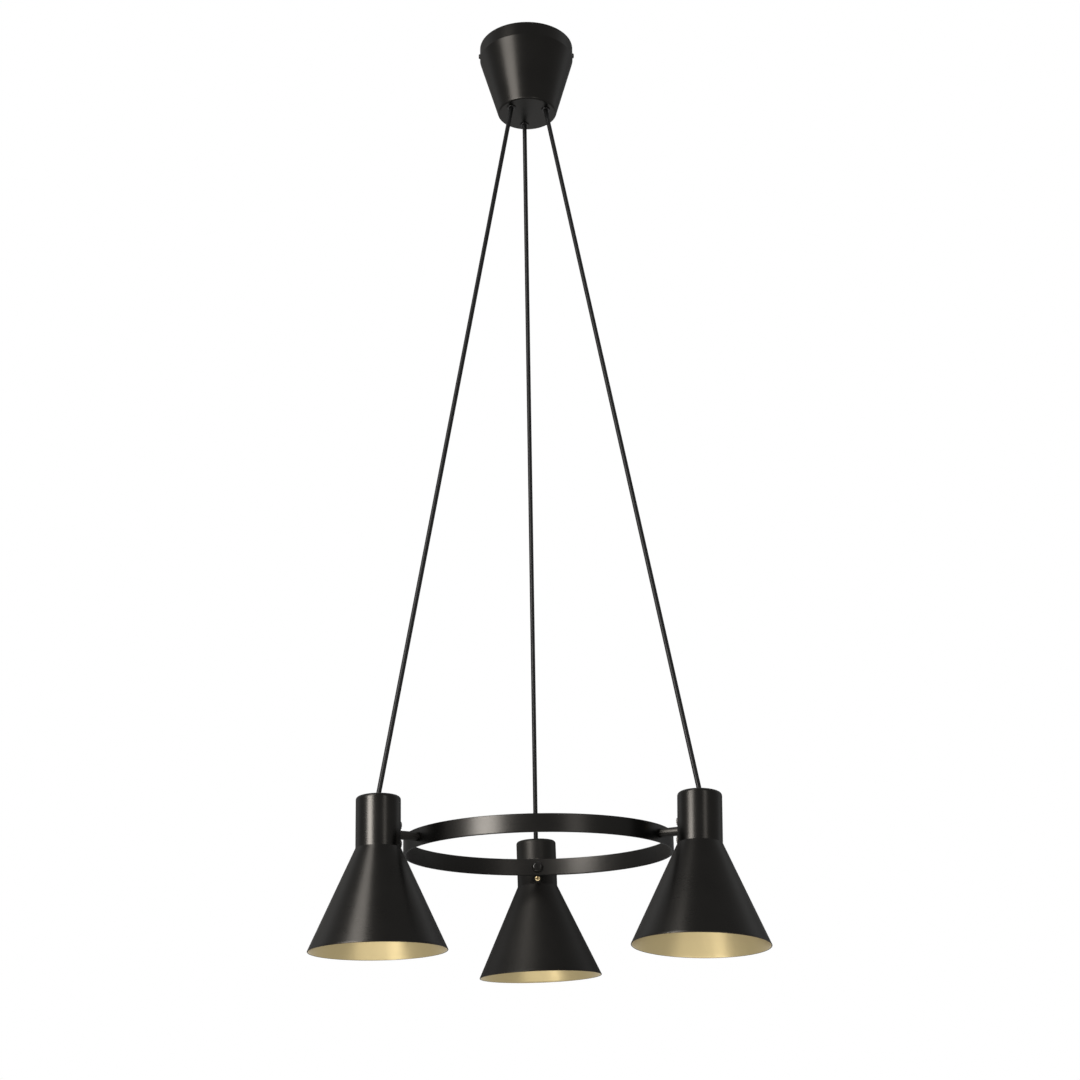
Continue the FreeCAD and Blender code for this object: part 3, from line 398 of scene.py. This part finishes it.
def row_quads(rows, columns, closed):
    """Four corners of every face between neighbouring rows, the columns wrapping round.

    A face looks to the right of the rows' travel.
    """
    row = np.arange(rows if closed else rows - 1)[:, None]
    column = np.arange(columns)[None, :]
    after = (column + 1) % columns
    low, high = row * columns, (row + 1) % rows * columns
    return np.stack([low + column, low + after, high + after, high + column], -1)


def lip(first, last, steps=6):
    """Half circle from one skin's edge to the other's, bulging to the right of that way."""
    middle, arm = (first + last) / 2, (first - last) / 2
    ahead = np.array([-arm[1], arm[0]])
    angle = np.linspace(0, math.pi, steps + 1)[1:-1, None]
    return middle + arm * np.cos(angle) + ahead * np.sin(angle)


def pierce(points, line, skins, centre, axis, radius):
    """Open a round hole in both skins of a turned sheet; tells which faces go.

    Faces whose middle is inside the hole's cylinder, and within three radii of its
    centre, go. The corners round them move onto the cylinder and stay on their skin.
    """
    centre, axis = np.array(centre, float), np.array(axis, float)
    axis /= np.linalg.norm(axis)
    nearby = 3 * radius
    skin = points[skins[0]]
    middles = (skin[:-1] + skin[1:]) / 2
    middles = (middles + np.roll(middles, -1, axis=1)) / 2
    apart = middles - centre
    across = np.linalg.norm(apart - (apart @ axis)[..., None] * axis, axis=-1)
    inside = (across < radius) & (np.linalg.norm(apart, axis=-1) < nearby)
    around = np.pad(inside | np.roll(inside, 1, axis=1), ((1, 1), (0, 0)))
    edge = around[:-1] | around[1:]
    upright = abs(axis[2]) > 0.9
    for rows in skins:
        moved = points[rows]
        spots = moved[edge]
        apart = spots - centre
        level = (apart @ axis)[:, None] * axis
        off = apart - level
        off *= radius / np.linalg.norm(off, axis=1)[:, None]
        new = centre + level + off
        if upright:
            new[:, 2] = spots[:, 2]
        else:
            radii, heights = line[rows].T
            near = np.abs(heights - centre[2]) < nearby
            order = np.argsort(heights[near])
            fit = np.interp(new[:, 2], heights[near][order], radii[near][order])
            new[:, :2] *= (fit / np.linalg.norm(new[:, :2], axis=1))[:, None]
        moved[edge] = new
        points[rows] = moved
    return inside


def hole_walls(gone, outer_rows, inner_rows):
    """Faces that join the two skins wherever a kept face borders one that is gone."""
    columns = gone.shape[1]
    row, column = np.indices(gone.shape)
    after = (column + 1) % columns
    empty = np.pad(gone, ((1, 1), (0, 0)))
    sides = (
        (empty[:-2], (row, column), (row, after)),
        (empty[2:], (row + 1, after), (row + 1, column)),
        (np.roll(gone, -1, axis=1), (row, after), (row + 1, after)),
        (np.roll(gone, 1, axis=1), (row + 1, column), (row, column)),
    )
    walls = []
    for beyond, (row_a, column_a), (row_b, column_b) in sides:
        corners = [
            outer_rows[row_b] * columns + column_b, outer_rows[row_a] * columns + column_a,
            inner_rows[row_a] * columns + column_a, inner_rows[row_b] * columns + column_b,
        ]
        walls.append(np.stack(corners, -1)[~gone & beyond])
    return np.vstack(walls)


def sheet_shell(outer, wall, columns, holes=(), poled=False):
    """Points and faces of a turned sheet, as outer skin, lip, inner skin and lip again.

    A hole is (centre, axis, radius). The third result marks the inner skin's points.
    """
    inner = inset(outer, wall)
    rows = len(outer)
    end_lip = lip(outer[-1], inner[-1])
    start_lip = lip(inner[0], outer[0])
    line = np.vstack([outer, end_lip, inner[::-1]] + ([] if poled else [start_lip]))
    points = swung(line, columns)
    quads = row_quads(len(line), columns, closed=not poled)
    outer_rows = np.arange(rows)
    inner_rows = 2 * rows + len(end_lip) - 1 - outer_rows
    gone = np.zeros((rows - 1, columns), bool)
    for centre, axis, radius in holes:
        gone |= pierce(points, line, (outer_rows, inner_rows), centre, axis, radius)
    kept = np.ones(quads.shape[:2], bool)
    kept[outer_rows[:-1]] = ~gone
    kept[inner_rows[1:]] = ~gone
    faces = np.vstack([quads[kept], hole_walls(gone, outer_rows, inner_rows)])
    inside = np.zeros(len(points), bool)
    inside[inner_rows] = True
    return points.reshape(-1, 3), faces, np.repeat(inside, columns)


def make_piece(name, body, place, points, faces, finishes, second=None):
    """A smooth closed piece riding on a body, its points in millimetres before it is hung.

    Corners that fall together, as at a pole, are joined. Faces whose corners all carry
    the mark `second` take the second finish.
    """
    mesh = bpy.data.meshes.new(name)
    mesh.from_pydata(carried(place, points), [], faces.tolist())
    for finish in finishes:
        mesh.materials.append(finish)
    if second is not None:
        inside = second[faces].all(axis=1)
        mesh.polygons.foreach_set("material_index", inside.astype(np.int32))
    bench = mesh.attributes.new("bench", "FLOAT_VECTOR", "POINT")
    bench.data.foreach_set("vector", (np.asarray(points) * MM).ravel())
    joined = bmesh.new()
    joined.from_mesh(mesh)
    bmesh.ops.remove_doubles(joined, verts=joined.verts, dist=SAME_SPOT)
    joined.to_mesh(mesh)
    joined.free()
    mesh.polygons.foreach_set("use_smooth", np.ones(len(mesh.polygons), bool))
    mesh.set_sharp_from_angle(angle=math.radians(SHARP_ANGLE))
    mesh.update()
    piece = bpy.data.objects.new(name, mesh)
    bpy.context.scene.collection.objects.link(piece)
    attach(piece, body)
    return piece


def turned_piece(name, body, place, loop, columns, finish):
    """A piece made by swinging a closed loop of (radius, height) about its place's Z axis."""
    points = swung(loop, columns).reshape(-1, 3)
    faces = row_quads(len(loop), columns, closed=True).reshape(-1, 4)
    return make_piece(name, body, place, points, faces, [finish])


LACQUER_TONES = ((0.0105, 0.0100, 0.0093), (0.0136, 0.0130, 0.0121))
LACQUER_TINT = (0.85, 0.85, 0.85, 1.0)
WORN_TONE = (0.04, 0.033, 0.026)


def lacquer_finish(name, rings, dullness, edge=None):
    """Black-brown satin lacquer on spun metal: cloudy tone, turning rings, a worn edge.

    Rings follow the piece's own axis. edge is the pair of heights between which the
    lacquer thins to brown-grey.
    """
    finish = Finish(name)
    bench = finish.bench()
    cloud = finish.clouds(bench, scale=34.0, detail=4.0)
    tone = finish.blend(cloud, *LACQUER_TONES)
    height = finish.along(bench, "Z")
    if edge:
        tone = finish.blend(height.ramp(edge[0] * MM, edge[1] * MM), WORN_TONE, tone)
    turning = finish.lines(height, scale=330.0, detail=4.0)
    return finish.done(
        Base_Color=tone,
        Metallic=1.0,
        Roughness=finish.satin(cloud * 0.04 + turning * 0.02 + dullness),
        Specular_Tint=LACQUER_TINT,
        Normal=finish.bump(turning * rings + cloud * 0.4, depth=0.00002),
    )


canopy_lacquer = lacquer_finish("canopy_lacquer", rings=0.25, dullness=0.27)
canopy_line = rounded([
    (0.0, -FLOOR_DROP, 0, 1.0),
    (FLOOR_RADIUS, -FLOOR_DROP, 2.6, 2.4),
    (CANOPY_RADIUS, COLLAR_FOOT, 0.9, 0.8),
    (CANOPY_RADIUS, CANOPY_MOUTH, 0, 0.6),
])
canopy_holes = [
    ((way * CANOPY_RADIUS, 0, STRAP_SCREW_HEIGHT), (way, 0, 0), STRAP_SCREW_HOLE)
    for way in (1, -1)
]
for side in BEARINGS:
    canopy_holes.append((gland_place(side)[:3, 3], (0, 0, 1), GLAND_HOLE))
points, faces, _ = sheet_shell(
    canopy_line, CANOPY_WALL, columns=300, holes=canopy_holes, poled=True,
)
canopy = make_piece(
    "canopy_cup", "frame", np.eye(4), points, faces, [canopy_lacquer],
)
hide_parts("canopy")

# Canopy screws: two domed steel screws under black, glossy, slightly uneven enamel.
# They hold the canopy's collar to the strap's ears.
black_enamel = clouded_finish(
    "black_enamel", scale=500.0, detail=3.0,
    tones=((0.004, 0.0034, 0.0026), (0.008, 0.0066, 0.005)),
    gloss=0.16, spread=0.08, depth=0.00002, satin=True, Specular_IOR_Level=0.14,
)
dress(black_enamel, "canopy_screws")

# Glands: low black grommets, one under the canopy's floor at each cord, on a thread with
# a nut above. Inside the canopy the cords' ends rise to the terminal block.
CORD_BORE = 2.76
GLAND_FLANGE = 5.8
GLAND_THREAD = 4.0
GLAND_TOP = 8.0
gland_line = rounded([
    (CORD_BORE, GLAND_MOUTH, 0.3, UNDIVIDED),
    (GLAND_FLANGE, GLAND_MOUTH, 0.8, UNDIVIDED),
    (GLAND_FLANGE, 0.0, 0.1, UNDIVIDED),
    (GLAND_THREAD, 0.0, 0, UNDIVIDED),
    (GLAND_THREAD, GLAND_TOP, 0.4, UNDIVIDED),
    (CORD_BORE, GLAND_TOP, 0.3, UNDIVIDED),
], closed=True)
for side in BEARINGS:
    gland = turned_piece(
        side + "_grommet", "frame", gland_place(side),
        gland_line, columns=72, finish=black_moulding,
    )
    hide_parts(side + "_gland")
dress(black_moulding, "gland_nuts")
dress(black_flex, "canopy_leads")

# Spreader ring: a flat steel band rolled into a circle and welded, lacquered like the
# shades, a little duller inside. The three arms' screws come out of it.
RING_RADIUS = 150.0
RING_MIDDLE = 148.5
RING_HALF = 9.65
RING_COLUMNS = 600
ring_lacquer = lacquer_finish("ring_lacquer", rings=0.0, dullness=0.28)
ring_inside = lacquer_finish("ring_inside_lacquer", rings=0.0, dullness=0.34)
ring_outer = rounded([
    (RING_MIDDLE, -RING_HALF, 0, 1.3),
    (RING_RADIUS, -RING_HALF, 0.5, 1.2),
    (RING_RADIUS, RING_HALF, 0.5, 1.2),
    (RING_MIDDLE, RING_HALF, 0, 1.3),
], steps=4)
ring_inner = ring_outer * (-1, 1) + (2 * RING_MIDDLE, 0)
ring_loop = np.vstack([ring_outer, ring_inner[::-1][1:-1]])
ring_points = swung(ring_loop, RING_COLUMNS).reshape(-1, 3)
ring_faces = row_quads(len(ring_loop), RING_COLUMNS, closed=True).reshape(-1, 4)
inside = np.linalg.norm(ring_points[:, :2], axis=1) < RING_MIDDLE
ring = make_piece(
    "ring_band", "frame", shift(0, 0, -RING_DROP),
    ring_points, ring_faces, [ring_lacquer, ring_inside], inside,
)
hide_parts("spreader_ring")

# Arms: a short lacquered tube and washer between the ring and each neck, on a domed screw
# that comes through the ring from inside and ends in a nut in the neck.
arm_lacquer = clouded_finish(
    "arm_lacquer", scale=120.0, detail=2.0,
    tones=((0.0144, 0.0136, 0.0126), (0.0182, 0.0173, 0.0160)),
    gloss=0.36, spread=0.06, depth=0.00001, satin=True,
    Metallic=1.0, Specular_Tint=LACQUER_TINT,
)
dress(arm_lacquer, "left_arm_tube", "right_arm_tube", "rear_arm_tube", "arm_washers")
dress(black_enamel, "arm_screws")
dress(zinc_plating, "arm_nuts")

# Shades: each is one spun steel piece, a cylinder neck folded crisply into a straight
# cone. Outside it has the black lacquer, inside a satin gold one.
SHADE_WALL = 1.0
NECK_RADIUS = 24.0
NECK_TOP = 39.0
NECK_FOOT = -15.8
RIM_RADIUS = 73.2
RIM_FOOT = -122.8
LIP_START = -122.15
LIP_RISE = 0.6
LIP_INSET = 0.05
WORN_EDGE = (-122.9, -121.9)
BUSH_HOLE = 5.6
ARM_HOLE = 3.15
BRACKET_HOLE = 2.15
BRACKET_HOLE_RISE = 9.9
GOLD_TONES = ((0.37, 0.298, 0.155), (0.42, 0.340, 0.180))


def gold_finish():
    """Satin gold lacquer over the spun inside: turning rings and soft warm clouds."""
    finish = Finish("gold_lacquer")
    bench = finish.bench()
    cloud = finish.clouds(bench, scale=26.0, detail=3.0)
    turning = finish.lines(finish.along(bench, "Z"), scale=420.0, detail=4.0)
    return finish.done(
        Base_Color=finish.blend(cloud, *GOLD_TONES),
        Metallic=0.88,
        Roughness=cloud * 0.08 + turning * 0.06 + 0.30,
        Normal=finish.bump(turning, depth=0.00003),
    )


shade_lacquer = lacquer_finish("shade_lacquer", rings=0.4, dullness=0.25, edge=WORN_EDGE)
dull_lacquer = lacquer_finish("dull_shade_lacquer", rings=0.4, dullness=0.44, edge=WORN_EDGE)
gold_lacquer = gold_finish()
slope = (RIM_RADIUS - NECK_RADIUS) / (NECK_FOOT - RIM_FOOT)
shade_line = rounded([
    (RIM_RADIUS - LIP_RISE * slope - LIP_INSET, LIP_START, 0, 2.4),
    (NECK_RADIUS, NECK_FOOT, 0.5, 0.62),
    (NECK_RADIUS, NECK_TOP, 3.5, 1.2),
    (BUSH_HOLE, NECK_TOP, 0, 1.0),
])
neck_holes = [((-NECK_RADIUS, 0, 0), (1, 0, 0), ARM_HOLE)]
for height in (BRACKET_HOLE_RISE, -BRACKET_HOLE_RISE):
    neck_holes.append(((-NECK_RADIUS, 0, height), (1, 0, 0), BRACKET_HOLE))
points, faces, inside = sheet_shell(shade_line, SHADE_WALL, columns=224, holes=neck_holes)
for side in BEARINGS:
    outside = dull_lacquer if side == "rear" else shade_lacquer
    shade = make_piece(
        side + "_cone_shade", side + "_shade_unit", shade_place(side),
        points, faces, [outside, gold_lacquer], inside,
    )
    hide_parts(side + "_shade")

# Cord bushes: black collars in the necks' tops, where the cords enter, each held by a nut
# from inside.
BUSH_FOOT = 33.5
BUSH_THREAD = 5.0
BUSH_COLLAR = 6.5
bush_line = rounded([
    (CORD_BORE, BUSH_FOOT, 0.3, UNDIVIDED),
    (BUSH_THREAD, BUSH_FOOT, 0.3, UNDIVIDED),
    (BUSH_THREAD, NECK_TOP, 0, UNDIVIDED),
    (BUSH_COLLAR, NECK_TOP, 0.15, UNDIVIDED),
    (BUSH_COLLAR, BUSH_MOUTH, 0.9, UNDIVIDED),
    (CORD_BORE, BUSH_MOUTH, 0.85, UNDIVIDED),
], closed=True)
for side in BEARINGS:
    bush = turned_piece(
        side + "_bush", side + "_shade_unit", shade_place(side),
        bush_line, columns=72, finish=black_moulding,
    )
    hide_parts(side + "_cord_bush")
    dress(black_moulding, side + "_bush_nut")
    dress(black_flex, side + "_neck_lead")

# Holder brackets: bent zinc-plated straps inside the necks, each held by two brass screws
# on toothed washers of blackened spring steel, and carrying its lampholder on a hollow bolt.
dark_steel = clouded_finish(
    "dark_steel", scale=700.0, detail=3.0,
    tones=((0.020, 0.019, 0.017), (0.055, 0.051, 0.046)),
    gloss=0.25, spread=0.2, depth=0.00002, Metallic=1.0,
)
for side in BEARINGS:
    dress(zinc_plating, side + "_holder_bracket", side + "_holder_nipple")
    dress(turned_brass, side + "_bracket_screws")
    dress(dark_steel, side + "_star_washers")

# Lampholders: black moulded sleeves, narrower at the top, with a brass screw shell inside.
# Each hangs in its neck on the bracket's hollow bolt.
HOLDER_RADIUS = 13.5
HOLDER_BORE = 11.9
HOLDER_TOP = 24.5
HOLDER_FOOT = -21.5
HOLDER_HOLE = 5.0
HOLDER_CROWN = 9.0
HOLDER_SHOULDER = 17.5
HOLDER_CEILING = 18.5
CEILING_RADIUS = 7.4
BORE_SHOULDER = 16.9
holder_line = rounded([
    (HOLDER_HOLE, HOLDER_TOP, 0, UNDIVIDED),
    (HOLDER_HOLE, HOLDER_CEILING, 0, UNDIVIDED),
    (CEILING_RADIUS, HOLDER_CEILING, 0, UNDIVIDED),
    (HOLDER_BORE, BORE_SHOULDER, 0, 9.0),
    (HOLDER_BORE, HOLDER_FOOT, 0.3, UNDIVIDED),
    (HOLDER_RADIUS, HOLDER_FOOT, 0.6, 4.0),
    (HOLDER_RADIUS, HOLDER_SHOULDER, 1.2, UNDIVIDED),
    (HOLDER_CROWN, HOLDER_TOP, 0.8, UNDIVIDED),
], closed=True)
for side in BEARINGS:
    holder = turned_piece(
        side + "_lamp_socket", side + "_shade_unit", shade_place(side),
        holder_line, columns=96, finish=black_moulding,
    )
    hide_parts(side + "_lampholder")
    dress(turned_brass, side + "_socket_insert")

# Bulbs: small globes of opal glass, white all through and glossy with a faint warm cloud,
# on screw caps of pale nickel-plated brass.
opal_glass = clouded_finish(
    "opal_glass", scale=60.0, detail=2.0,
    tones=((0.80, 0.785, 0.75), (0.86, 0.85, 0.82)),
    gloss=0.10, spread=0.06, Specular_IOR_Level=0.5,
)
nickel_plating = clouded_finish(
    "nickel_plating", scale=400.0, detail=3.0,
    tones=((0.56, 0.54, 0.50), (0.68, 0.66, 0.62)),
    gloss=0.18, spread=0.12, depth=0.00001, Metallic=1.0,
)
for side in BEARINGS:
    dress(opal_glass, side + "_bulb_glass")
    dress(nickel_plating, side + "_bulb_cap")

# Studio: a pale floor three metres under the ceiling, fading into the white all round it.
# What the camera, gloss and glass see is plain white; the room lights dull surfaces less.
WHITE = (1, 1, 1, 1)
FLOOR_LEVEL = -3.0
FLOOR_HALF = 9.0
FLOOR_TONES = ((0.80, 0.80, 0.80), (0.84, 0.84, 0.84))
FLOOR_FADE = (4.0, 8.0)
FLOOR_GLOW = 0.75
ROOM_STRENGTH = 0.6


def white_rays(nodes):
    """1 for the rays that see plain white: the camera's, and those in gloss and glass."""
    seen = 0.0
    for name in ("Is Camera Ray", "Is Glossy Ray", "Is Transmission Ray"):
        seen = nodes.node("ShaderNodeLightPath", out=name).reckon("MAXIMUM", seen)
    return seen


floor_corners = [
    (x * FLOOR_HALF, y * FLOOR_HALF, FLOOR_LEVEL) for x, y in ((-1, -1), (1, -1), (1, 1), (-1, 1))
]
floor_mesh = bpy.data.meshes.new("floor")
floor_mesh.from_pydata(floor_corners, [], [(0, 1, 2, 3)])
paint = Finish("floor_paint")
grain = paint.clouds(paint.place(), scale=1.5, detail=2.0)
tone = paint.blend(grain, *FLOOR_TONES)
matte = paint.node("ShaderNodeBsdfDiffuse", {"Color": tone})
glow = paint.node("ShaderNodeEmission", {"Color": WHITE, "Strength": 1.0})
reach = paint.node("ShaderNodeVectorMath", {0: paint.place()}, out="Value", operation="LENGTH")
share = white_rays(paint) * (reach.ramp(*FLOOR_FADE) * (1.0 - FLOOR_GLOW) + FLOOR_GLOW)
mixed = paint.node("ShaderNodeMixShader", {0: share, 1: matte, 2: glow})
paint.node("ShaderNodeOutputMaterial", {"Surface": mixed})
floor_mesh.materials.append(paint.material)
floor = bpy.data.objects.new("floor", floor_mesh)
bpy.context.scene.collection.objects.link(floor)

world = bpy.data.worlds.new("studio")
bpy.context.scene.world = world
world.use_nodes = True
sky = Nodes(world.node_tree)
strength = white_rays(sky) * (1.0 - ROOM_STRENGTH) + ROOM_STRENGTH
backdrop = sky.node("ShaderNodeBackground", {"Color": WHITE, "Strength": strength})
sky.node("ShaderNodeOutputWorld", {"Surface": backdrop})

# Soft boxes: name, spot, height on the pendant's axis that it faces, width, height, watts.
# Gleams show in shiny surfaces alone: three one over another on the left, a strip on the
# right, two low in front for the gold insides, one far behind. Fills light dull surfaces.
LAMP_COLOUR = (1.0, 0.975, 0.95)
GLEAMS = (
    ("left_low", (-0.73, -0.81, -0.87), -0.87, 0.38, 0.34, 23.0),
    ("left_high", (-0.76, -0.775, -0.25), -0.25, 0.56, 0.90, 26.5),
    ("left_top", (-0.74, -0.80, 0.36), 0.36, 0.36, 0.32, 5.4),
    ("right_strip", (0.57, -1.06, -0.85), -0.85, 0.24, 0.80, 4.0),
    ("low_left", (-0.95, -1.20, -2.50), -1.16, 0.5, 0.5, 6.0),
    ("low_front", (0.27, -1.40, -2.50), -1.16, 2.0, 0.5, 7.8),
    ("low_back", (0.0, 4.4, -2.6), -0.1, 2.2, 2.2, 12.0),
)
FILLS = (
    ("back_box", (0.5, 1.8, -0.4), -0.6, 0.8, 0.8, 8.0),
    ("front_box", (-1.1, -2.6, -0.2), -0.8, 1.6, 1.6, 34.0),
    ("low_left_box", (-1.5, -1.0, -2.0), -1.1, 1.0, 1.0, 11.0),
)


def soft_box(name, spot, facing, width, height, watts, gleam):
    """A soft box at a spot, turned to face the pendant's axis at a height."""
    lamp = bpy.data.lights.new(name, "AREA")
    lamp.shape = "RECTANGLE"
    lamp.size, lamp.size_y = width, height
    lamp.energy = watts
    lamp.color = LAMP_COLOUR
    box = bpy.data.objects.new(name, lamp)
    bpy.context.scene.collection.objects.link(box)
    turn = (Vector((0.0, 0.0, facing)) - Vector(spot)).to_track_quat("-Z", "Y")
    box.matrix_world = Matrix.Translation(spot) @ turn.to_matrix().to_4x4()
    box.visible_camera = False
    box.visible_diffuse = not gleam
    box.visible_glossy = gleam


for box in GLEAMS:
    soft_box(*box, gleam=True)
for box in FILLS:
    soft_box(*box, gleam=False)

bpy.context.scene.view_settings.view_transform = "Standard"
